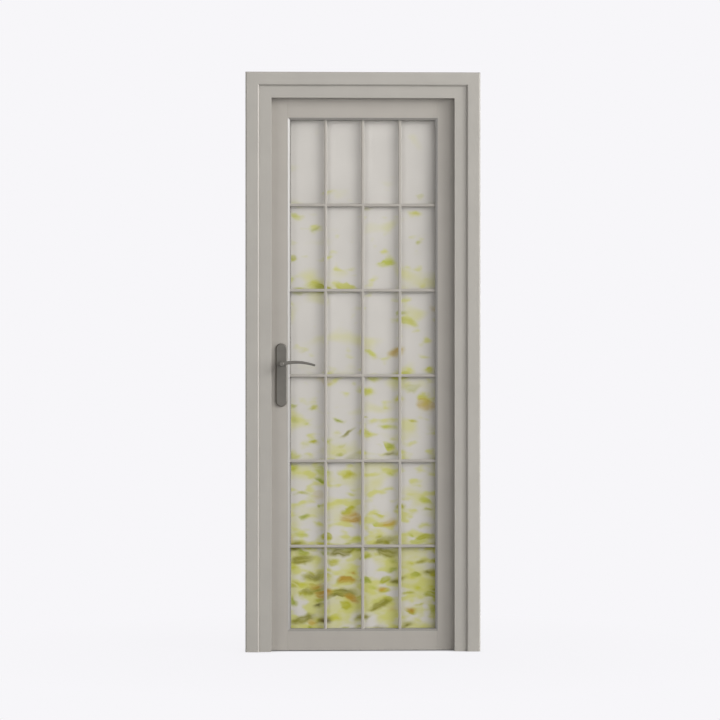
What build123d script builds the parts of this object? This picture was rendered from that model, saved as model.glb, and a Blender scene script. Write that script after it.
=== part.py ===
from build123d import *

import os

# French style glazed door: one hinged leaf in a cased frame, millimetres, +X towards the hinges,
# +Y away from the viewer, +Z up. The origin is the foot of the hinge jamb's wall face, mid wall.

# Frame, with the casings that cover the joint between frame and wall
opening_width = 664.0
opening_height = 2006.0
wall_thickness = 80.0
frame_sight = 45.0
casing_lap = 10.0
casing_width = 49.0
casing_thickness = 8.0
casing_wall = 3.0
casing_bevel = 4.0
casing_nose = 6.0
casing_lip = 14.0
rebate_width = 17.0
edge_round = 1.5

# Leaf
leaf_thickness = 54.0
hinge_gap = 5.0
lock_gap = 8.0
head_gap = 5.0
floor_gap = 3.0
stile_sight = 59.5
top_rail_sight = 69.5
bottom_rail_height = 69.0
rail_joint_chamfer = 0.5
seal_width = 7.0
seal_inset = 2.0
seal_thickness = 2.5
seal_clearance = 0.5

# Glass, beads and bars
glass_thickness = 5.0
glass_edge_clearance = 2.0
bead_width = 7.5
bead_set_back = 0.5
bead_edge_depth = 4.5
bar_width = 11.0
bar_thickness = 6.5
bar_bevel = 2.0
bar_glass_gap = 7.5
crossbar_drop = 4.5
columns = 4
rows = 6

# Hinges
hinge_height = 100.0
hinge_end_inset = 226.0
barrel_radius = 7.0
barrel_stand_off = 1.0
pin_radius = 4.0
pin_clearance = 0.3
knuckle_clearance = 0.5
hinge_plate_width = 20.0
hinge_plate_thickness = 3.0
hinge_tab_thickness = 6.0
hinge_plate_clearance = 1.6
barrel_end_round = 2.0

# Handle and latch
backset = 45.5
spindle_height = 1042.0
plate_width = 42.0
plate_height = 230.0
plate_thickness = 8.0
plate_bevel = 4.0
plate_drop = 40.0
neck_radius = 9.0
neck_clearance = 0.5
neck_end_round = 2.5
lever_reach = 122.0
lever_arch = 6.3
lever_droop = 5.5
grip_depth = 15.0
grip_height = 13.0
grip_corner = 4.5
tip_depth = 12.0
tip_height = 8.0
tip_corner = 3.0
tip_round = 2.5
grip_stand_off = 52.0
hub_proud = 1.5
neck_seat = 2.0
spindle_size = 8.0
spindle_hole_radius = 6.5
latch_plate_width = 22.0
latch_plate_height = 230.0
latch_plate_thickness = 3.0
latch_plate_round = 5.0
bolt_width = 13.0
bolt_height = 27.0
bolt_length = 22.0
bolt_clearance = 0.5
strike_width = 24.0
strike_height = 120.0
strike_thickness = 2.5
strike_slot_margin = 2.0
strike_pocket_depth = 12.0

# Wall fixings through the rebate of each jamb
fixing_radius = 4.25
fixing_head_radius = 8.0
fixing_foot_inset = 200.0
fixing_head_inset = 186.0
fixing_count = 4

# Places worked out from the sizes above
frame_width = frame_sight + casing_lap
centre_x = -(opening_width / 2 + frame_width)
wall_front = -wall_thickness / 2
wall_rear = wall_thickness / 2
leaf_rear = wall_rear
leaf_front = leaf_rear - leaf_thickness
leaf_middle = leaf_rear - leaf_thickness / 2
stop_back = leaf_front - seal_thickness - seal_clearance
opening_left = centre_x - opening_width / 2
opening_right = centre_x + opening_width / 2
rebate_left = opening_left - rebate_width
rebate_right = opening_right + rebate_width
leaf_left = rebate_left + lock_gap
leaf_right = rebate_right - hinge_gap
leaf_top = opening_height + rebate_width - head_gap
leaf_bottom = floor_gap
glazing_left = opening_left + stile_sight
glazing_right = opening_right - stile_sight
glazing_top = opening_height - top_rail_sight
glazing_bottom = leaf_bottom + bottom_rail_height
sight_left = glazing_left + bead_width
sight_right = glazing_right - bead_width
sight_top = glazing_top - bead_width
sight_bottom = glazing_bottom + bead_width
glass_left = glazing_left + glass_edge_clearance
glass_right = glazing_right - glass_edge_clearance
glass_top = glazing_top - glass_edge_clearance
glass_bottom = glazing_bottom + glass_edge_clearance
glass_front = leaf_middle - glass_thickness / 2
bead_edge = leaf_front + bead_edge_depth
bar_back = glass_front - bar_glass_gap
bar_front = bar_back - bar_thickness
spindle_x = leaf_left + backset
pin_x = rebate_right - hinge_gap / 2
pin_y = leaf_rear + barrel_stand_off + barrel_radius
hinge_low = leaf_bottom + hinge_end_inset
hinge_high = leaf_top - hinge_end_inset
hinge_centres = (hinge_low, (hinge_low + hinge_high) / 2, hinge_high)
fixing_pitch = (opening_height - fixing_head_inset - fixing_foot_inset) / (fixing_count - 1)
fixing_heights = [fixing_foot_inset + i * fixing_pitch for i in range(fixing_count)]
leaf_mid_plane = Plane.XZ.offset(-leaf_middle)
toward_viewer = Vector(0, -1, 0)
pieces = {}


def mitred_run(section, rounded, start, end, mitre_start=True, mitre_end=True):
    """A length of the section (outward, depth) from start to end, mitred where it meets the next."""
    along = (end - start).normalized()
    outward = Vector(0, 1, 0).cross(along)
    reach = max(0, *[out for out, depth in section])
    lead = reach if mitre_start else 0
    tail = reach if mitre_end else 0
    with BuildPart() as run:
        with BuildSketch(Plane(origin=start - along * lead, x_dir=outward, z_dir=along)) as profile:
            with BuildLine():
                Polyline(*section, close=True)
            make_face()
            for corner, radius in rounded:
                fillet(profile.vertices().sort_by_distance(corner)[0], radius)
        extrude(amount=(end - start).length + lead + tail)
        if mitre_start:
            split(bisect_by=Plane(origin=start, z_dir=along + outward), keep=Keep.TOP)
        if mitre_end:
            split(bisect_by=Plane(origin=end, z_dir=along - outward), keep=Keep.BOTTOM)
    return run.part


# Frame: two jambs and a head of one rebated section, mitred at the top corners
frame_section = [
    (0, wall_front),
    (0, stop_back),
    (rebate_width, stop_back),
    (rebate_width, wall_rear),
    (frame_width, wall_rear),
    (frame_width, wall_front),
]
frame_rounds = [(frame_section[i], edge_round) for i in (0, 1, 3)]
foot_right = Vector(opening_right, 0, 0)
head_right = Vector(opening_right, 0, opening_height)
head_left = Vector(opening_left, 0, opening_height)
foot_left = Vector(opening_left, 0, 0)

with BuildPart() as hinge_jamb:
    add(mitred_run(frame_section, frame_rounds, foot_right, head_right, mitre_start=False))
    with Locations(*[Plane((rebate_right, leaf_middle, z), z_dir=(-1, 0, 0)) for z in fixing_heights]):
        CounterSinkHole(fixing_radius, fixing_head_radius)
pieces["hinge_jamb"] = hinge_jamb

with BuildPart() as head_jamb:
    add(mitred_run(frame_section, frame_rounds, head_right, head_left))
pieces["head_jamb"] = head_jamb

strike_centre = Vector(rebate_left, leaf_middle, spindle_height)
slot_width = bolt_width + 2 * strike_slot_margin
slot_height = bolt_height + 2 * strike_slot_margin
with BuildPart() as lock_jamb:
    add(mitred_run(frame_section, frame_rounds, head_left, foot_left, mitre_end=False))
    with Locations(*[Plane((rebate_left, leaf_middle, z), z_dir=(1, 0, 0)) for z in fixing_heights]):
        CounterSinkHole(fixing_radius, fixing_head_radius)
    with BuildSketch(Plane(strike_centre, x_dir=(0, 1, 0), z_dir=(-1, 0, 0))):
        RectangleRounded(strike_width, strike_height, latch_plate_round)
    extrude(amount=strike_thickness, mode=Mode.SUBTRACT)
    with BuildSketch(Plane(strike_centre, x_dir=(0, 1, 0), z_dir=(-1, 0, 0))):
        Rectangle(slot_width, slot_height)
    extrude(amount=strike_pocket_depth, mode=Mode.SUBTRACT)
pieces["lock_jamb"] = lock_jamb

with BuildPart() as strike_plate:
    with BuildSketch(Plane(strike_centre, x_dir=(0, 1, 0), z_dir=(-1, 0, 0))):
        RectangleRounded(strike_width, strike_height, latch_plate_round)
        Rectangle(slot_width, slot_height, mode=Mode.SUBTRACT)
    extrude(amount=strike_thickness)
pieces["strike_plate"] = strike_plate

# Casings: open backed channels that lap the frame and lie on the wall, on both sides of it
casing_inner = frame_sight
casing_outer = frame_sight + casing_width
casing_face = wall_front - casing_thickness
channel_floor = casing_face + casing_wall
casing_section = [
    (casing_inner, wall_front),
    (casing_inner, casing_face + casing_bevel),
    (casing_inner + casing_bevel, casing_face),
    (casing_outer, casing_face),
    (casing_outer, wall_front),
    (casing_outer - casing_wall, wall_front),
    (casing_outer - casing_wall, channel_floor),
    (casing_inner + casing_lip, channel_floor),
    (casing_inner + casing_lip, wall_front),
]
casing_rounds = [(casing_section[3], casing_nose), (casing_section[2], edge_round)]

with BuildPart() as front_casing_hinge_side:
    add(mitred_run(casing_section, casing_rounds, foot_right, head_right, mitre_start=False))
pieces["front_casing_hinge_side"] = front_casing_hinge_side

with BuildPart() as front_casing_head:
    add(mitred_run(casing_section, casing_rounds, head_right, head_left))
pieces["front_casing_head"] = front_casing_head

with BuildPart() as front_casing_lock_side:
    add(mitred_run(casing_section, casing_rounds, head_left, foot_left, mitre_end=False))
pieces["front_casing_lock_side"] = front_casing_lock_side

for side in ("hinge_side", "head", "lock_side"):
    with BuildPart() as rear_casing:
        mirror(pieces[f"front_casing_{side}"].part, about=Plane.XZ)
    pieces[f"rear_casing_{side}"] = rear_casing

# Seals on the back of the stop, just clear of the closed leaf
seal_section = [
    (seal_inset, stop_back),
    (seal_inset + seal_width, stop_back),
    (seal_inset + seal_width, stop_back + seal_thickness),
    (seal_inset, stop_back + seal_thickness),
]
seal_rounds = [(seal_section[i], seal_thickness / 2) for i in (2, 3)]

with BuildPart() as hinge_side_seal:
    add(mitred_run(seal_section, seal_rounds, foot_right, head_right, mitre_start=False))
pieces["hinge_side_seal"] = hinge_side_seal

with BuildPart() as head_seal:
    add(mitred_run(seal_section, seal_rounds, head_right, head_left))
pieces["head_seal"] = head_seal

with BuildPart() as lock_side_seal:
    add(mitred_run(seal_section, seal_rounds, head_left, foot_left, mitre_end=False))
pieces["lock_side_seal"] = lock_side_seal

# Leaf: two stiles at full height with the rails between them
leaf_height = leaf_top - leaf_bottom
latch_centre = Vector(leaf_left, leaf_middle, spindle_height)
latch_plate_centre = Vector(leaf_left, leaf_middle, spindle_height - plate_drop)
with BuildPart() as lock_stile:
    with BuildSketch(Plane.XY.offset(leaf_bottom)) as stile_profile:
        with Locations(((leaf_left + glazing_left) / 2, leaf_middle)):
            Rectangle(glazing_left - leaf_left, leaf_thickness)
        fillet(stile_profile.vertices().group_by(Axis.X)[0], edge_round)
    extrude(amount=leaf_height)
    with BuildSketch(Plane(latch_plate_centre, x_dir=(0, 1, 0), z_dir=(1, 0, 0))):
        RectangleRounded(latch_plate_width, latch_plate_height, latch_plate_round)
    extrude(amount=latch_plate_thickness, mode=Mode.SUBTRACT)
    with BuildSketch(Plane(latch_centre, x_dir=(0, 1, 0), z_dir=(1, 0, 0))):
        Rectangle(bolt_width + 2 * bolt_clearance, bolt_height + 2 * bolt_clearance)
    extrude(amount=bolt_length, mode=Mode.SUBTRACT)
    with Locations(Plane((spindle_x, leaf_front, spindle_height), z_dir=toward_viewer)):
        Hole(spindle_hole_radius)
pieces["lock_stile"] = lock_stile

with BuildPart() as hinge_stile:
    with BuildSketch(Plane.XY.offset(leaf_bottom)) as stile_profile:
        with Locations(((leaf_right + glazing_right) / 2, leaf_middle)):
            Rectangle(leaf_right - glazing_right, leaf_thickness)
        fillet(stile_profile.vertices().group_by(Axis.X)[-1], edge_round)
    extrude(amount=leaf_height)
pieces["hinge_stile"] = hinge_stile

rail_centre = (glazing_left + glazing_right) / 2
rail_length = glazing_right - glazing_left
for name, low, high in (("top_rail", glazing_top, leaf_top), ("bottom_rail", leaf_bottom, glazing_bottom)):
    with BuildPart() as rail:
        with BuildSketch(Plane.XY.offset(low)):
            with Locations((rail_centre, leaf_middle)):
                Rectangle(rail_length, leaf_thickness)
        extrude(amount=high - low)
        chamfer(rail.edges().filter_by(Axis.Z), rail_joint_chamfer)
    pieces[name] = rail

# Beads: mitred bevelled strips that hold the glass from both sides
bead_section = [
    (0, leaf_front + bead_set_back),
    (0, glass_front),
    (-bead_width, glass_front),
    (-bead_width, bead_edge),
]
glazing_corners = [
    Vector(glazing_right, 0, glazing_bottom),
    Vector(glazing_right, 0, glazing_top),
    Vector(glazing_left, 0, glazing_top),
    Vector(glazing_left, 0, glazing_bottom),
]
for i, side in enumerate(("hinge_side", "top", "lock_side", "bottom")):
    with BuildPart() as front_bead:
        add(mitred_run(bead_section, [], glazing_corners[i], glazing_corners[(i + 1) % 4]))
    pieces[f"front_bead_{side}"] = front_bead
    with BuildPart() as rear_bead:
        mirror(front_bead.part, about=leaf_mid_plane)
    pieces[f"rear_bead_{side}"] = rear_bead

# Glass: one frosted sheet between the beads
with BuildPart() as glass_pane:
    with BuildSketch(Plane.XY.offset(glass_bottom)):
        with Locations((rail_centre, leaf_middle)):
            Rectangle(glass_right - glass_left, glass_thickness)
    extrude(amount=glass_top - glass_bottom)
pieces["glass_pane"] = glass_pane

# Bars: a fused grid on each side of the glass, held clear of it by the beads. The bars share out the
# whole sheet evenly, with the crossbars a little low.
bar_section = [
    (-bar_width / 2, bar_back),
    (-bar_width / 2, bar_front + bar_bevel),
    (-bar_width / 2 + bar_bevel, bar_front),
    (bar_width / 2 - bar_bevel, bar_front),
    (bar_width / 2, bar_front + bar_bevel),
    (bar_width / 2, bar_back),
]
column_pitch = (glass_right - glass_left) / columns
row_pitch = (glass_top - glass_bottom) / rows
with BuildPart() as front_glazing_bars:
    for i in range(1, columns):
        upright_foot = Vector(glass_left + i * column_pitch, 0, sight_bottom)
        with BuildSketch(Plane(upright_foot, x_dir=(1, 0, 0), z_dir=(0, 0, 1))):
            with BuildLine():
                Polyline(*bar_section, close=True)
            make_face()
        extrude(amount=sight_top - sight_bottom)
    for i in range(1, rows):
        crossbar_end = Vector(sight_right, 0, glass_bottom + i * row_pitch - crossbar_drop)
        with BuildSketch(Plane(crossbar_end, x_dir=(0, 0, 1), z_dir=(-1, 0, 0))):
            with BuildLine():
                Polyline(*bar_section, close=True)
            make_face()
        extrude(amount=sight_right - sight_left)
pieces["front_glazing_bars"] = front_glazing_bars

with BuildPart() as rear_glazing_bars:
    mirror(front_glazing_bars.part, about=leaf_mid_plane)
pieces["rear_glazing_bars"] = rear_glazing_bars

# Hinges: a frame half with the pin and two end knuckles, and a leaf half with the middle knuckle
knuckle = hinge_height / 3
plate_start = barrel_radius + hinge_plate_clearance
tab_start = hinge_gap / 2


def hinge_plate(side, low, high, near, far, thickness):
    """A flat strip on the rear of the frame (side 1) or leaf (side -1), from near to far off the pin."""
    with BuildPart() as strip:
        with BuildSketch(Plane.XY.offset(low)):
            with Locations((pin_x + side * (near + far) / 2, leaf_rear + thickness / 2)):
                Rectangle(far - near, thickness)
        extrude(amount=high - low)
    return strip.part


def knuckle_barrel(low, high):
    """A round length of the hinge barrel about the pin's axis."""
    with BuildPart() as barrel:
        with BuildSketch(Plane((pin_x, pin_y, low))):
            Circle(barrel_radius)
        extrude(amount=high - low)
    return barrel.part


for name, centre in zip(("bottom", "middle", "top"), hinge_centres):
    low = centre - hinge_height / 2
    high = centre + hinge_height / 2
    middle_low = low + knuckle
    middle_high = high - knuckle
    plate_end = plate_start + hinge_plate_width
    with BuildPart() as frame_half:
        add(knuckle_barrel(low, middle_low))
        add(knuckle_barrel(middle_high, high))
        end_edges = frame_half.edges().filter_by(GeomType.CIRCLE).sort_by(Axis.Z)
        fillet([end_edges[0], end_edges[-1]], barrel_end_round)
        with BuildSketch(Plane((pin_x, pin_y, middle_low - knuckle_clearance))):
            Circle(pin_radius)
        extrude(amount=middle_high - middle_low + 2 * knuckle_clearance)
        add(hinge_plate(1, low, high, plate_start, plate_end, hinge_plate_thickness))
        add(hinge_plate(1, low, middle_low, tab_start, plate_start, hinge_tab_thickness))
        add(hinge_plate(1, middle_high, high, tab_start, plate_start, hinge_tab_thickness))
    pieces[f"{name}_hinge_frame_half"] = frame_half
    with BuildPart() as leaf_half:
        add(knuckle_barrel(middle_low + knuckle_clearance, middle_high - knuckle_clearance))
        add(
            hinge_plate(
                -1,
                middle_low + knuckle_clearance,
                middle_high - knuckle_clearance,
                tab_start,
                plate_start,
                hinge_tab_thickness,
            )
        )
        with BuildSketch(Plane((pin_x, pin_y, low))):
            Circle(pin_radius + pin_clearance)
        extrude(amount=hinge_height, mode=Mode.SUBTRACT)
        add(hinge_plate(-1, low, high, plate_start, plate_end, hinge_plate_thickness))
    pieces[f"{name}_hinge_leaf_half"] = leaf_half

# Handle: a long plate and a lever on each face, joined by a square spindle
with BuildPart() as front_handle_plate:
    plate_centre = Vector(spindle_x, leaf_front, spindle_height - plate_drop)
    with BuildSketch(Plane(plate_centre, x_dir=(0, 0, 1), z_dir=toward_viewer)):
        SlotOverall(plate_height, plate_width)
    extrude(amount=plate_thickness)
    chamfer(front_handle_plate.faces().sort_by(Axis.Y)[0].edges(), plate_bevel)
    with Locations(Plane((spindle_x, leaf_front - plate_thickness, spindle_height), z_dir=toward_viewer)):
        Hole(neck_radius + neck_clearance)
pieces["front_handle_plate"] = front_handle_plate

with BuildPart() as rear_handle_plate:
    mirror(front_handle_plate.part, about=leaf_mid_plane)
pieces["rear_handle_plate"] = rear_handle_plate

neck_root = leaf_front - neck_seat
grip_line = leaf_front - grip_stand_off
neck_end = grip_line - grip_depth / 2 - hub_proud
with BuildPart() as front_lever:
    with BuildSketch(Plane((spindle_x, neck_root, spindle_height), z_dir=toward_viewer)):
        Circle(neck_radius)
    extrude(amount=neck_root - neck_end)
    fillet(front_lever.edges().filter_by(GeomType.CIRCLE).sort_by(Axis.Y)[0], neck_end_round)
    with BuildLine() as grip_path:
        ThreePointArc(
            (spindle_x, grip_line, spindle_height),
            (spindle_x + lever_reach / 2, grip_line, spindle_height + lever_arch),
            (spindle_x + lever_reach, grip_line, spindle_height - lever_droop),
        )
    with BuildSketch(Plane(grip_path.line @ 0, x_dir=(0, 1, 0), z_dir=grip_path.line % 0)):
        RectangleRounded(grip_depth, grip_height, grip_corner)
    with BuildSketch(Plane(grip_path.line @ 1, x_dir=(0, 1, 0), z_dir=grip_path.line % 1)):
        RectangleRounded(tip_depth, tip_height, tip_corner)
    sweep(path=grip_path.line, multisection=True)
    fillet(front_lever.faces().sort_by(Axis.X)[-1].edges(), tip_round)
pieces["front_lever"] = front_lever

with BuildPart() as rear_lever:
    mirror(front_lever.part, about=leaf_mid_plane)
pieces["rear_lever"] = rear_lever

with BuildPart() as lever_spindle:
    with BuildSketch(Plane((spindle_x, neck_root, spindle_height), z_dir=(0, 1, 0))):
        Rectangle(spindle_size, spindle_size)
    extrude(amount=leaf_thickness + 2 * neck_seat)
pieces["lever_spindle"] = lever_spindle

# Latch: a faceplate let into the lock edge, with the bolt drawn back level with it
with BuildPart() as latch_faceplate:
    with BuildSketch(Plane(latch_plate_centre, x_dir=(0, 1, 0), z_dir=(1, 0, 0))) as latch_profile:
        RectangleRounded(latch_plate_width, latch_plate_height, latch_plate_round)
    extrude(amount=latch_plate_thickness)
    with BuildSketch(Plane(latch_centre, x_dir=(0, 1, 0), z_dir=(1, 0, 0))):
        Rectangle(bolt_width + 2 * bolt_clearance, bolt_height + 2 * bolt_clearance)
    extrude(amount=latch_plate_thickness, mode=Mode.SUBTRACT)
pieces["latch_faceplate"] = latch_faceplate

with BuildPart() as latch_bolt:
    with BuildSketch(Plane(latch_centre, x_dir=(0, 1, 0), z_dir=(1, 0, 0))):
        Rectangle(bolt_width, bolt_height)
    extrude(amount=bolt_length)
pieces["latch_bolt"] = latch_bolt

os.makedirs("parts", exist_ok=True)
for name, piece in pieces.items():
    piece.part.label = name
    export_step(piece.part, f"parts/{name}.step")
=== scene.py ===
import math

import bmesh
import bpy
from mathutils import Matrix, Vector


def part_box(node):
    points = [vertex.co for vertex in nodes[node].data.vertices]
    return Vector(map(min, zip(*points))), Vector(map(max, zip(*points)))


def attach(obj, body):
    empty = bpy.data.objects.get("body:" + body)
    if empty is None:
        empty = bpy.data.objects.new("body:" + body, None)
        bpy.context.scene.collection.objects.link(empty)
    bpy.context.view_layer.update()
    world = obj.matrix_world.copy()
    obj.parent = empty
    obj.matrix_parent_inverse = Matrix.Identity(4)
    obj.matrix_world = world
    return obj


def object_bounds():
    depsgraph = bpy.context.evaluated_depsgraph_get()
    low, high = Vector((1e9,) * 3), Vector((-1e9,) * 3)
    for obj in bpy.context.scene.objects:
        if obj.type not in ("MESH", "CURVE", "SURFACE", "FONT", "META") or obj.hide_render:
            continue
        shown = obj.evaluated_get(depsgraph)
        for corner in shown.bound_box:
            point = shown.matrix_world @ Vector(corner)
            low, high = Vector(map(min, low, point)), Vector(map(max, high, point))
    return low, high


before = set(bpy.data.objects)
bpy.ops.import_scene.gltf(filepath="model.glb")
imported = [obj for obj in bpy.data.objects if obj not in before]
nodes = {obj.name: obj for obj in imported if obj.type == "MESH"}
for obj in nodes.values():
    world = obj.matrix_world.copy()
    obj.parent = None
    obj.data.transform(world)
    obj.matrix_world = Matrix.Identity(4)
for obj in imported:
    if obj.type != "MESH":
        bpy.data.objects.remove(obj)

# French style glazed door: finishes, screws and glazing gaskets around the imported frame, leaf and
# lever set. Metres, +X towards the hinges, +Y away from the viewer, +Z up.

cad_low, cad_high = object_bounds()

# Places read from the frame
sight_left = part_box("front_bead_lock_side")[1].x
sight_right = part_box("front_bead_hinge_side")[0].x
sight_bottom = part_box("front_bead_bottom")[1].z
sight_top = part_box("front_bead_top")[0].z
glass_low, glass_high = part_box("glass_pane")
casing_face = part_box("front_casing_head")[0].y
door_middle_x = (cad_low.x + cad_high.x) / 2

# Rows of lites in the bar grid
rows = 6

# Screws and gaskets. A screw's rim, crown and recess are shares of its radius or rise, a gasket's
# shoulder of its width and height.
# The lock-side gasket width is painted shade: a wide dark band of rubber beside the lock-side bead, where
# the glass is only in shade.
gasket_and_shade_widths = {"lock": 0.0050, "hinge": 0.0010, "bottom": 0.0015, "top": 0.0008}
gasket_height = 0.003
gasket_lip = 0.001
gasket_shoulder = {"width": 0.55, "height": 0.85}
hinge_plate_width = 0.020
hinge_plate_thickness = 0.003
hinge_screw_radius = 0.0042
plate_screw_radius = 0.0040
screw_rise = 0.0006
screw_rim = {"radius": 0.93, "rise": 0.7}
screw_crown = 0.72
recess_reach = 0.60
recess_width = 0.17
recess_depth = 0.0011
recess_floor = {"reach": 0.8, "width": 0.75}
hinge_screw_pitch = 0.034
edge_screw_inset = 0.012
handle_screw_inset = 0.016
circle_steps = 28

# Colours, linear
frame_grey = (0.370, 0.351, 0.321)
leaf_grey = (0.353, 0.329, 0.297)
glass_white = (0.537, 0.513, 0.479)
# Bead tones are painted shade: the beads are darker than the leaf coat, and the uprights darker than the
# levels, to match the shade on each side.
bead_painted_shade_grey = (0.170, 0.159, 0.143)
level_bead_painted_shade_grey = (0.200, 0.188, 0.169)
seal_grey = (0.060, 0.057, 0.052)
# The gasket grey also colours the painted shade of the wide lock-side band.
gasket_and_shade_grey = (0.200, 0.190, 0.172)
handle_grey = (0.137, 0.129, 0.113)
steel_grey = (0.560, 0.555, 0.540)
studio_white = (0.930, 0.9215, 0.947)

# Grain of the finishes. Scales and stretches of noise are per metre, tones are factors on the colour at
# the low and the high end of the noise, bumps are strength and depth.
noise_low, noise_high = 0.3, 0.7
coat_scales = {"cloud": 7.0, "peel": 520.0, "grain": 1500.0}
coat_stretch = {"x": (3.0, 420.0, 420.0), "z": (420.0, 420.0, 3.0)}
coat_shares = {"cloud": 0.60, "lines": 0.15, "grain": 0.25}
coat_tones = (0.955, 1.045)
coat_roughness_spread = 0.05
coat_peel_grain = 0.35
coat_bump = (0.10, 0.0004)
glass_scales = {"cloud": 5.0, "frost": 1400.0}
glass_cloud_range = (0.35, 0.65)
glass_tones = (0.97, 1.03)
glass_transmission = 0.08
glass_ior = 1.45
glass_roughness = (0.50, 0.62)
glass_bump = (0.08, 0.0003)
rubber_scales = {"dust": 120.0, "grain": 2600.0}
rubber_tones = [(0.3, 0.85), (0.75, 1.2)]
rubber_roughness = (0.62, 0.80)
rubber_bump = (0.15, 0.0002)
plating_stretch = {"x": (14.0, 1500.0, 1500.0), "z": (1500.0, 1500.0, 12.0)}
plating_cloud_scale = 35.0
plating_shares = {"brushed": 0.6, "cloud": 0.4}
plating_tones = (0.86, 1.14)
plating_metallic = 0.35
plating_roughness = (0.32, 0.46)
plating_bump = (0.08, 0.0002)
steel_stretch = (2200.0, 2200.0, 25.0)
steel_tones = (0.85, 1.10)
steel_roughness = (0.26, 0.40)
steel_bump = (0.06, 0.0002)

# The print's soft edges, and how far its dabs wander and fray
wash_edge = 0.20
wander = {"scale": 9.0, "reach": (0.100, 0.070, 0.0)}
fray = {"scale": 60.0, "reach": (0.014, 0.009, 0.0)}
dab_onset = 0.06
dab_cell_edge = 0.12
streak_stretch = (22.0, 75.0, 1.0)
streak_range = (0.25, 0.60)
streak_low = 0.65

# Camera, light and floor. Lamps are in degrees and watts.
lens = 138.1
sensor = 36.0
camera_distance = 10.0
camera_turn = math.radians(-2.0)
camera_offset_x = -0.0114
camera_height = 1.0566
camera_reach = 200.0
ambient = 0.03
lamp_distance = 12.0
lamp_size = 4.4
lights = {
    "low_key": {"azimuth": 72, "elevation": 6, "power": 730},
    "key": {"azimuth": 64, "elevation": 25, "power": 770},
    "side": {"azimuth": 48, "elevation": 30, "power": 395},
    "front": {"azimuth": 30, "elevation": 12, "power": 250},
    "top": {"azimuth": 10, "elevation": 60, "power": 180},
    "fill": {"azimuth": -50, "elevation": 11, "power": 410},
    "back": {"azimuth": 150, "elevation": 16, "power": 700},
    "back_fill": {"azimuth": -128, "elevation": 10, "power": 900},
}
glossy_lamps = ("low_key", "key")
floor_half = 30.0
floor_tone = (0.45, 0.45, 0.45)
floor_roughness = 0.9
# Painted contact shade on the floor: ambient occlusion lowers its glow where a piece stands close over it,
# so the darker diffuse floor and its real shadow show.
floor_contact_shade = [(0.0, 0.08), (0.50, 0.50), (0.80, 0.97), (1.0, 1.0)]
floor_contact_shade_reach = 0.06
floor_contact_shade_samples = 16
floor_shadow_share = 0.05
floor_shadow_reach = 1.5


class Shader:
    """The node tree of one material, with a short call for each kind of node used here."""

    def __init__(self, name):
        self.material = bpy.data.materials.new(name)
        self.material.use_nodes = True
        self.tree = self.material.node_tree
        self.surface = self.tree.nodes["Principled BSDF"]
        self.place = self.add("ShaderNodeTexCoord").outputs["Object"]

    def put(self, socket, value):
        if isinstance(value, bpy.types.NodeSocket):
            self.tree.links.new(value, socket)
        elif hasattr(value, "__len__") and len(value) == 3 and socket.type == "RGBA":
            socket.default_value = (*value, 1.0)
        else:
            socket.default_value = value

    def add(self, kind, **settings):
        node = self.tree.nodes.new(kind)
        for name, value in settings.items():
            setattr(node, name, value)
        return node

    def set(self, **values):
        for name, value in values.items():
            self.put(self.surface.inputs[name.replace("_", " ")], value)

    def math(self, operation, a, b=0.0, clamp=False):
        node = self.add("ShaderNodeMath", operation=operation, use_clamp=clamp)
        self.put(node.inputs[0], a)
        self.put(node.inputs[1], b)
        return node.outputs[0]

    def vector(self, operation, a, b):
        node = self.add("ShaderNodeVectorMath", operation=operation)
        self.put(node.inputs[0], a)
        self.put(node.inputs[1], b)
        return node.outputs[0]

    def split(self, vector):
        node = self.add("ShaderNodeSeparateXYZ")
        self.put(node.inputs[0], vector)
        return node.outputs

    def join(self, x, y, z=0.0):
        node = self.add("ShaderNodeCombineXYZ")
        for socket, value in zip(node.inputs, (x, y, z)):
            self.put(socket, value)
        return node.outputs[0]

    def turned(self, vector, angle):
        node = self.add("ShaderNodeVectorRotate", rotation_type="Z_AXIS")
        self.put(node.inputs["Vector"], vector)
        self.put(node.inputs["Angle"], angle)
        return node.outputs[0]

    def noise(self, vector, scale, detail=2.0, roughness=0.5, output="Fac"):
        node = self.add("ShaderNodeTexNoise")
        self.put(node.inputs["Vector"], vector)
        self.put(node.inputs["Scale"], scale)
        self.put(node.inputs["Detail"], detail)
        self.put(node.inputs["Roughness"], roughness)
        return node.outputs[output]

    def cells(self, vector, feature="F1"):
        node = self.add("ShaderNodeTexVoronoi", voronoi_dimensions="2D", feature=feature)
        self.put(node.inputs["Vector"], vector)
        self.put(node.inputs["Scale"], 1.0)
        return node.outputs

    def span(self, value, low, high, to_low=0.0, to_high=1.0, smooth=False):
        node = self.add("ShaderNodeMapRange", interpolation_type="SMOOTHSTEP" if smooth else "LINEAR")
        for socket, number in zip(node.inputs, (value, low, high, to_low, to_high)):
            self.put(socket, number)
        return node.outputs[0]

    def ramp(self, value, stops):
        node = self.add("ShaderNodeValToRGB")
        elements = node.color_ramp.elements
        while len(elements) < len(stops):
            elements.new(1.0)
        for element, (place, colour) in zip(elements, stops):
            element.position = place
            element.color = (*colour, 1.0) if hasattr(colour, "__len__") else (colour, colour, colour, 1.0)
        self.put(node.inputs[0], value)
        return node.outputs[0]

    def blend(self, share, a, b, mode="MIX"):
        node = self.add("ShaderNodeMix", data_type="RGBA", blend_type=mode)
        self.put(node.inputs[0], share)
        self.put(node.inputs[6], a)
        self.put(node.inputs[7], b)
        return node.outputs[2]

    def tones(self, value, colour, factors, ends=(noise_low, noise_high)):
        """The colour made darker and lighter by the two factors, between the ends of a noise."""
        return self.ramp(value, [(end, shade(colour, factor)) for end, factor in zip(ends, factors)])

    def bump(self, height, strength, distance):
        node = self.add("ShaderNodeBump")
        self.put(node.inputs["Height"], height)
        self.put(node.inputs["Strength"], strength)
        self.put(node.inputs["Distance"], distance)
        self.set(Normal=node.outputs[0])


def shade(colour, factor):
    return tuple(channel * factor for channel in colour)


# Materials


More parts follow.
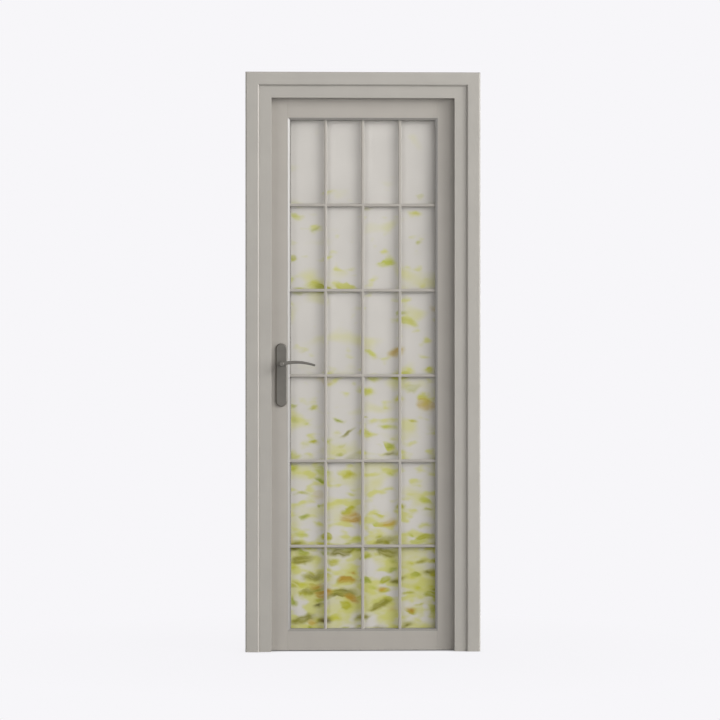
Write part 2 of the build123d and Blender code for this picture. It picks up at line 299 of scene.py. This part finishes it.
def powder_coat(name, colour, along, roughness, gloss=0.5, lacquer=0.0):
    """Satin powder coat on an extrusion: orange peel, cloudy tone, faint lines along its length."""
    s = Shader(name)
    cloud = s.noise(s.place, coat_scales["cloud"], detail=3.0, roughness=0.55)
    lines = s.noise(s.vector("MULTIPLY", s.place, coat_stretch[along]), 1.0)
    grain = s.noise(s.place, coat_scales["grain"])
    tone = s.math("MULTIPLY", cloud, coat_shares["cloud"])
    tone = s.math("ADD", tone, s.math("MULTIPLY", lines, coat_shares["lines"]))
    tone = s.math("ADD", tone, s.math("MULTIPLY", grain, coat_shares["grain"]))
    s.set(Base_Color=s.tones(tone, colour, coat_tones))
    rough_low, rough_high = roughness - coat_roughness_spread, roughness + coat_roughness_spread
    s.set(Roughness=s.span(grain, noise_low, noise_high, rough_low, rough_high))
    s.set(Coat_Weight=lacquer, Coat_Roughness=roughness, Specular_IOR_Level=gloss)
    peel = s.noise(s.place, coat_scales["peel"])
    s.bump(s.math("ADD", peel, s.math("MULTIPLY", grain, coat_peel_grain)), *coat_bump)
    return s.material


def by_row(s, height, values):
    """A number that changes smoothly up the pane, given for each row of lites from the bottom."""
    return s.ramp(height, [((i + 0.5) / rows, value) for i, value in enumerate(values)])


def wash_layer(s, flat, height, wash):
    """A smooth cloudy wash of print. Returns its strength."""
    cloud = s.noise(s.vector("MULTIPLY", flat, wash["scale"]), 1.0, detail=1.5)
    above = s.math("SUBTRACT", cloud, by_row(s, height, wash["edges"]))
    return s.math("MULTIPLY", s.span(above, 0.0, wash_edge, smooth=True), wash["strength"])


def dab_layer(s, flat, height, dabs):
    """Scattered soft dabs of print, at most one to a cell. Returns their strength and their colour."""
    moved = flat
    for drift in (wander, fray):
        offset = s.noise(flat, drift["scale"], output="Color")
        moved = s.vector("ADD", moved, s.vector("MULTIPLY", offset, drift["reach"]))
    width, tall = dabs["cell"]
    turned = s.turned(moved, math.radians(dabs["lean"]))
    place = s.vector("MULTIPLY", turned, (1 / width, 1 / tall, 1.0))
    place = s.vector("ADD", place, (*dabs["shift"], 0.0))
    cells = s.cells(place)
    chance_lot, size_lot, colour_lot = s.split(cells["Color"])
    chance = by_row(s, height, dabs["chances"])
    present = s.span(s.math("SUBTRACT", chance, chance_lot), 0.0, dab_onset)
    radius = s.span(size_lot, 0.0, 1.0, *dabs["radii"])
    mask = s.math("DIVIDE", s.math("SUBTRACT", radius, cells["Distance"]), dabs["softness"], clamp=True)
    inside = s.cells(place, "DISTANCE_TO_EDGE")["Distance"]
    present = s.math("MULTIPLY", present, s.span(inside, 0.0, dab_cell_edge, smooth=True))
    mask = s.math("MULTIPLY", s.span(mask, 0.0, 1.0, smooth=True), present)
    streaks = s.noise(s.vector("MULTIPLY", moved, streak_stretch), 1.0)
    mask = s.math("MULTIPLY", mask, s.span(streaks, *streak_range, streak_low, 1.0), clamp=True)
    body = s.blend(colour_lot, *dabs["bodies"])
    return s.math("MULTIPLY", mask, dabs["strength"]), s.blend(mask, dabs["rim"], body)


# The print, palest layers first. Edges and chances run from the bottom row of lites to the top.
print_washes = [
    {"scale": (6.5, 10.0, 1.0), "edges": (0.395, 0.45, 0.52, 0.555, 0.54, 0.66), "strength": 0.80,
     "colour": (0.515, 0.500, 0.215)},
    {"scale": (15.0, 27.0, 1.0), "edges": (0.42, 0.485, 0.56, 0.60, 0.575, 0.75), "strength": 0.80,
     "colour": (0.490, 0.485, 0.120)},
]
print_dabs = [
    {"cell": (0.110, 0.052), "lean": 7, "shift": (3.1, 7.7),
     "chances": (0.85, 0.60, 0.40, 0.24, 0.28, 0.0),
     "radii": (0.26, 0.50), "softness": 0.32, "strength": 0.90,
     "rim": (0.500, 0.490, 0.190), "bodies": ((0.440, 0.430, 0.035), (0.380, 0.410, 0.040))},
    {"cell": (0.092, 0.044), "lean": -6, "shift": (8.6, 1.3),
     "chances": (0.80, 0.30, 0.18, 0.08, 0.10, 0.0),
     "radii": (0.24, 0.48), "softness": 0.28, "strength": 0.95,
     "rim": (0.440, 0.430, 0.090), "bodies": ((0.370, 0.350, 0.020), (0.230, 0.280, 0.020))},
    {"cell": (0.150, 0.056), "lean": -12, "shift": (11.4, 2.2),
     "chances": (0.72, 0.14, 0.08, 0.0, 0.0, 0.0),
     "radii": (0.26, 0.48), "softness": 0.28, "strength": 0.95,
     "rim": (0.360, 0.350, 0.050), "bodies": ((0.210, 0.200, 0.015), (0.150, 0.140, 0.015))},
    {"cell": (0.125, 0.070), "lean": 4, "shift": (6.3, 19.8),
     "chances": (0.45, 0.07, 0.06, 0.07, 0.07, 0.0),
     "radii": (0.20, 0.40), "softness": 0.24, "strength": 0.95,
     "rim": (0.460, 0.390, 0.080), "bodies": ((0.430, 0.280, 0.015), (0.330, 0.180, 0.014))},
    {"cell": (0.160, 0.085), "lean": -5, "shift": (2.9, 14.4),
     "chances": (0.50, 0.05, 0.0, 0.0, 0.0, 0.0),
     "radii": (0.18, 0.36), "softness": 0.26, "strength": 0.95,
     "rim": (0.230, 0.215, 0.040), "bodies": ((0.085, 0.080, 0.016), (0.095, 0.060, 0.014))},
]


def printed_glass():
    """White frosted glass with a soft print of scattered leaf dabs that thicken towards the floor."""
    s = Shader("printed_frosted_glass")
    x, _, z = s.split(s.place)
    flat = s.join(x, z)
    height = s.span(z, sight_bottom, sight_top)
    cloud = s.noise(flat, glass_scales["cloud"])
    colour = s.tones(cloud, glass_white, glass_tones, glass_cloud_range)
    for wash in print_washes:
        colour = s.blend(wash_layer(s, flat, height, wash), colour, wash["colour"])
    for dabs in print_dabs:
        strength, tint = dab_layer(s, flat, height, dabs)
        colour = s.blend(strength, colour, tint)
    s.set(Base_Color=colour, Transmission_Weight=glass_transmission, IOR=glass_ior)
    frost = s.noise(s.place, glass_scales["frost"])
    s.set(Roughness=s.span(frost, noise_low, noise_high, *glass_roughness))
    s.bump(frost, *glass_bump)
    return s.material


def rubber(name, colour):
    """Matt extruded rubber with a slightly dusty tone."""
    s = Shader(name)
    dust = s.noise(s.place, rubber_scales["dust"], detail=4.0, roughness=0.6)
    grain = s.noise(s.place, rubber_scales["grain"])
    s.set(Base_Color=s.ramp(dust, [(end, shade(colour, factor)) for end, factor in rubber_tones]))
    s.set(Roughness=s.span(grain, noise_low, noise_high, *rubber_roughness))
    s.bump(grain, *rubber_bump)
    return s.material


def dark_plating(name, along):
    """Satin dark grey plating, finely brushed along the piece."""
    s = Shader(name)
    brushed = s.noise(s.vector("MULTIPLY", s.place, plating_stretch[along]), 1.0, detail=3.0, roughness=0.6)
    cloud = s.noise(s.place, plating_cloud_scale)
    tone = s.math("MULTIPLY", brushed, plating_shares["brushed"])
    tone = s.math("ADD", tone, s.math("MULTIPLY", cloud, plating_shares["cloud"]))
    s.set(Base_Color=s.tones(tone, handle_grey, plating_tones), Metallic=plating_metallic)
    s.set(Roughness=s.span(brushed, noise_low, noise_high, *plating_roughness))
    s.bump(brushed, *plating_bump)
    return s.material


def brushed_steel():
    """Bright steel plate with fine vertical brushing."""
    s = Shader("brushed_bright_steel")
    brushed = s.noise(s.vector("MULTIPLY", s.place, steel_stretch), 1.0, detail=3.0, roughness=0.6)
    s.set(Base_Color=s.tones(brushed, steel_grey, steel_tones), Metallic=1.0)
    s.set(Roughness=s.span(brushed, noise_low, noise_high, *steel_roughness))
    s.bump(brushed, *steel_bump)
    return s.material


frame_upright = powder_coat("frame_coat_upright", frame_grey, "z", roughness=0.42, gloss=0.25)
frame_level = powder_coat("frame_coat_level", frame_grey, "x", roughness=0.42, gloss=0.25)
leaf_upright = powder_coat("leaf_coat_upright", leaf_grey, "z", roughness=0.40)
leaf_level = powder_coat("leaf_coat_level", leaf_grey, "x", roughness=0.40)
# The beads' tones carry painted shade; their gloss and lacquer are their finish.
bead_upright_painted_shade = powder_coat("bead_coat_upright_painted_shade", bead_painted_shade_grey, "z", roughness=0.32, gloss=1.0, lacquer=1.0)
bead_level_painted_shade = powder_coat("bead_coat_level_painted_shade", level_bead_painted_shade_grey, "x", roughness=0.34, gloss=0.75, lacquer=0.5)
bar_coat = powder_coat("bar_coat", leaf_grey, "z", roughness=0.40)
hinge_coat = powder_coat("hinge_coat_upright", leaf_grey, "z", roughness=0.38)
glass = printed_glass()
seal = rubber("seal_rubber_matt", seal_grey)
glazing_rubber_and_shade = rubber("glazing_rubber_and_shade_grey", gasket_and_shade_grey)
plate_plating = dark_plating("handle_plate_plating", "z")
lever_plating = dark_plating("lever_plating", "x")
steel = brushed_steel()

finishes = {
    frame_upright: ["hinge_jamb", "lock_jamb", "front_casing_hinge_side", "front_casing_lock_side",
                    "rear_casing_hinge_side", "rear_casing_lock_side"],
    frame_level: ["head_jamb", "front_casing_head", "rear_casing_head"],
    leaf_upright: ["lock_stile", "hinge_stile"],
    leaf_level: ["top_rail", "bottom_rail"],
    bead_upright_painted_shade: ["front_bead_hinge_side", "front_bead_lock_side",
                   "rear_bead_hinge_side", "rear_bead_lock_side"],
    bead_level_painted_shade: ["front_bead_top", "front_bead_bottom", "rear_bead_top", "rear_bead_bottom"],
    bar_coat: ["front_glazing_bars", "rear_glazing_bars"],
    hinge_coat: [f"{place}_hinge_{half}_half" for place in ("bottom", "middle", "top")
                 for half in ("frame", "leaf")],
    glass: ["glass_pane"],
    seal: ["hinge_side_seal", "head_seal", "lock_side_seal"],
    plate_plating: ["front_handle_plate", "rear_handle_plate"],
    lever_plating: ["front_lever", "rear_lever"],
    steel: ["strike_plate", "latch_faceplate", "latch_bolt", "lever_spindle"],
}
for material, names in finishes.items():
    for name in names:
        node = nodes[name]
        for material_slot in node.material_slots:
            material_slot.material = material


# Added pieces


def piece(name, mesh, body, material):
    """A finished mesh as a named piece that rides on a body of the frame."""
    data = bpy.data.meshes.new(name)
    bmesh.ops.recalc_face_normals(mesh, faces=mesh.faces)
    mesh.to_mesh(data)
    mesh.free()
    data.materials.append(material)
    made = bpy.data.objects.new(name, data)
    bpy.context.scene.collection.objects.link(made)
    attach(made, body)


def gasket(name, glass_face, outward):
    """The rubber between glass and beads on one face: a mitred loop. Its wide dark band on the lock side is
    painted shade beside the lock-side bead.
    """
    mesh = bmesh.new()
    shoulder = (gasket_shoulder["width"], gasket_height * gasket_shoulder["height"])
    section = [(0.0, 0.0), (1.0, 0.0), (1.0, gasket_lip), shoulder, (0.0, gasket_height)]
    rings = []
    for share, height in section:
        left = sight_left + gasket_and_shade_widths["lock"] * share
        right = sight_right - gasket_and_shade_widths["hinge"] * share
        bottom = sight_bottom + gasket_and_shade_widths["bottom"] * share
        top = sight_top - gasket_and_shade_widths["top"] * share
        y = glass_face + outward * height
        corners = [(left, y, bottom), (right, y, bottom), (right, y, top), (left, y, top)]
        rings.append([mesh.verts.new(corner) for corner in corners])
    for ring, following in zip(rings, rings[1:] + rings[:1]):
        for i in range(4):
            j = (i + 1) % 4
            mesh.faces.new((ring[i], ring[j], following[j], following[i]))
    piece(name, mesh, "leaf", glazing_rubber_and_shade)


gasket("front_glazing_gasket_and_shade", glass_low.y, -1)
gasket("rear_glazing_gasket_and_shade", glass_high.y, 1)


def add_screw_head(mesh, centre, outward, radius):
    """A low countersunk head with a cross recess, standing a little proud of the plate at centre."""
    turn = outward.to_track_quat("Z", "Y").to_matrix().to_4x4()
    place = Matrix.Translation(centre) @ turn

    def ring(points, height):
        return [mesh.verts.new(place @ Vector((a, b, height))) for a, b in points]

    def circle(r):
        angles = [2 * math.pi * i / circle_steps for i in range(circle_steps)]
        return [(r * math.cos(angle), r * math.sin(angle)) for angle in angles]

    def cross(reach, half):
        arm = [(reach, -half), (reach, half), (half, half)]
        points = []
        for quarter in range(4):
            c, s = math.cos(quarter * math.pi / 2), math.sin(quarter * math.pi / 2)
            points += [(a * c - b * s, a * s + b * c) for a, b in arm]
        return points

    def wall(lower, upper):
        for i in range(len(lower)):
            j = (i + 1) % len(lower)
            mesh.faces.new((lower[i], lower[j], upper[j], upper[i]))

    reach = radius * recess_reach
    half = radius * recess_width
    foot = ring(circle(radius), 0.0)
    rim = ring(circle(radius * screw_rim["radius"]), screw_rise * screw_rim["rise"])
    crown = ring(circle(radius * screw_crown), screw_rise)
    mouth = ring(cross(reach, half), screw_rise)
    deep = cross(reach * recess_floor["reach"], half * recess_floor["width"])
    floor_ring = ring(deep, screw_rise - recess_depth)
    wall(foot, rim)
    wall(rim, crown)
    wall(mouth, floor_ring)
    mesh.faces.new(floor_ring)
    loops = [(loop[i], loop[(i + 1) % len(loop)]) for loop in (crown, mouth) for i in range(len(loop))]
    edges = [mesh.edges.get(pair) or mesh.edges.new(pair) for pair in loops]
    bmesh.ops.triangle_fill(mesh, edges=edges, use_beauty=True)


def screws(name, places, outward, radius, body, material):
    """Screw heads at the given places, all facing outward, as one piece."""
    mesh = bmesh.new()
    for centre in places:
        add_screw_head(mesh, centre, outward, radius)
    piece(name, mesh, body, material)


rearward = Vector((0, 1, 0))
plate_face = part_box("hinge_stile")[1].y + hinge_plate_thickness
for half in ("frame", "leaf"):
    places = []
    for name in ("bottom", "middle", "top"):
        low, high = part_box(f"{name}_hinge_{half}_half")
        middle_x = high.x - hinge_plate_width / 2 if half == "frame" else low.x + hinge_plate_width / 2
        middle_z = (low.z + high.z) / 2
        for step in (-1, 0, 1):
            places.append(Vector((middle_x, plate_face, middle_z + step * hinge_screw_pitch)))
    screws(f"{half}_hinge_screws", places, rearward, hinge_screw_radius, half, steel)

for name, body, outward in (("strike_plate", "frame", Vector((1, 0, 0))),
                            ("latch_faceplate", "leaf", Vector((-1, 0, 0)))):
    low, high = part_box(name)
    face_x = high.x if outward.x > 0 else low.x
    middle_y = (low.y + high.y) / 2
    places = [Vector((face_x, middle_y, z)) for z in (low.z + edge_screw_inset, high.z - edge_screw_inset)]
    screws(f"{name}_screws", places, outward, plate_screw_radius, body, steel)

low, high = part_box("rear_handle_plate")
middle_x = (low.x + high.x) / 2
places = [Vector((middle_x, high.y, z)) for z in (low.z + handle_screw_inset, high.z - handle_screw_inset)]
screws("rear_handle_plate_screws", places, rearward, plate_screw_radius,
       "leaf", plate_plating)


# Stage: floor, world, light and camera


def seen_rays(tree):
    """1 for the rays that show a surface to the camera directly, by gloss or through glass."""
    path = tree.nodes.new("ShaderNodeLightPath")
    total = path.outputs["Is Camera Ray"]
    for name in ("Is Glossy Ray", "Is Transmission Ray"):
        add = tree.nodes.new("ShaderNodeMath")
        add.operation = "ADD"
        add.use_clamp = True
        tree.links.new(total, add.inputs[0])
        tree.links.new(path.outputs[name], add.inputs[1])
        total = add.outputs[0]
    return total


def white_world():
    """A white backdrop for the rays that show it, and a faint even light for the rest."""
    world = bpy.data.worlds.new("studio")
    bpy.context.scene.world = world
    world.use_nodes = True
    tree = world.node_tree
    fill = tree.nodes["Background"]
    fill.inputs["Color"].default_value = (1.0, 1.0, 1.0, 1.0)
    fill.inputs["Strength"].default_value = ambient
    backdrop = tree.nodes.new("ShaderNodeBackground")
    backdrop.inputs["Color"].default_value = (*studio_white, 1.0)
    mix = tree.nodes.new("ShaderNodeMixShader")
    tree.links.new(seen_rays(tree), mix.inputs[0])
    tree.links.new(fill.outputs[0], mix.inputs[1])
    tree.links.new(backdrop.outputs[0], mix.inputs[2])
    tree.links.new(mix.outputs[0], tree.nodes["World Output"].inputs["Surface"])


def pale_floor():
    """A broad pale floor that fades into the white behind it. It keeps the door's shadow close by, and
    painted contact shade from ambient occlusion darkens it where a piece stands close over it, with the
    real shadow showing through there."""
    data = bpy.data.meshes.new("floor")
    corners = [(x * floor_half, y * floor_half, 0) for x, y in ((-1, -1), (1, -1), (1, 1), (-1, 1))]
    data.from_pydata(corners, [], [(0, 1, 2, 3)])
    floor = bpy.data.objects.new("floor", data)
    bpy.context.scene.collection.objects.link(floor)
    s = Shader("pale_floor")
    s.set(Base_Color=floor_tone, Roughness=floor_roughness, Specular_IOR_Level=0.0)
    glow = s.add("ShaderNodeEmission")
    s.put(glow.inputs["Color"], studio_white)
    away = s.add("ShaderNodeVectorMath", operation="LENGTH")
    s.put(away.inputs[0], s.vector("SUBTRACT", s.place, (door_middle_x, 0.0, 0.0)))
    far = s.span(away.outputs["Value"], 0.0, floor_shadow_reach, 1.0 - floor_shadow_share, 1.0)
    # Painted contact shade: ambient occlusion within the reach darkens the floor's glow.
    contact_shade = s.add("ShaderNodeAmbientOcclusion", samples=floor_contact_shade_samples)
    s.put(contact_shade.inputs["Distance"], floor_contact_shade_reach)
    share = s.math("MULTIPLY", far, s.ramp(contact_shade.outputs["AO"], floor_contact_shade))
    mix = s.add("ShaderNodeMixShader")
    s.put(mix.inputs[0], s.math("MULTIPLY", share, seen_rays(s.tree)))
    s.put(mix.inputs[1], s.surface.outputs[0])
    s.put(mix.inputs[2], glow.outputs[0])
    s.put(s.tree.nodes["Material Output"].inputs["Surface"], mix.outputs[0])
    data.materials.append(s.material)


def soft_light(name, azimuth, elevation, power):
    """A large lamp that looks at the middle of the door. Azimuth 0 is in front, 90 the hinge side."""
    lamp = bpy.data.lights.new(name, "AREA")
    lamp.shape = "SQUARE"
    lamp.size = lamp_size
    lamp.energy = power
    turn, rise = math.radians(azimuth), math.radians(elevation)
    level = math.cos(rise)
    direction = Vector((math.sin(turn) * level, -math.cos(turn) * level, math.sin(rise)))
    door_middle = Vector((door_middle_x, 0.0, (cad_low.z + cad_high.z) / 2))
    light = bpy.data.objects.new(name, lamp)
    light.location = door_middle + direction * lamp_distance
    light.rotation_mode = "QUATERNION"
    light.rotation_quaternion = direction.to_track_quat("Z", "Y")
    light.visible_camera = False
    light.visible_glossy = name in glossy_lamps
    bpy.context.scene.collection.objects.link(light)


def photo_camera():
    """The photo's view: level, from far off, turned a little to one side."""
    camera = bpy.data.cameras.new("photo_camera")
    camera.lens = lens
    camera.sensor_width = sensor
    camera.clip_end = camera_reach
    back = Vector((math.sin(camera_turn), -math.cos(camera_turn), 0.0))
    target = Vector((door_middle_x + camera_offset_x, casing_face, camera_height))
    holder = bpy.data.objects.new("photo_camera", camera)
    holder.location = target + back * camera_distance
    holder.rotation_mode = "QUATERNION"
    holder.rotation_quaternion = back.to_track_quat("Z", "Y")
    bpy.context.scene.collection.objects.link(holder)
    bpy.context.scene.camera = holder


white_world()
pale_floor()
for name, settings in lights.items():
    soft_light(name, **settings)
photo_camera()
bpy.context.scene.view_settings.view_transform = "Standard"
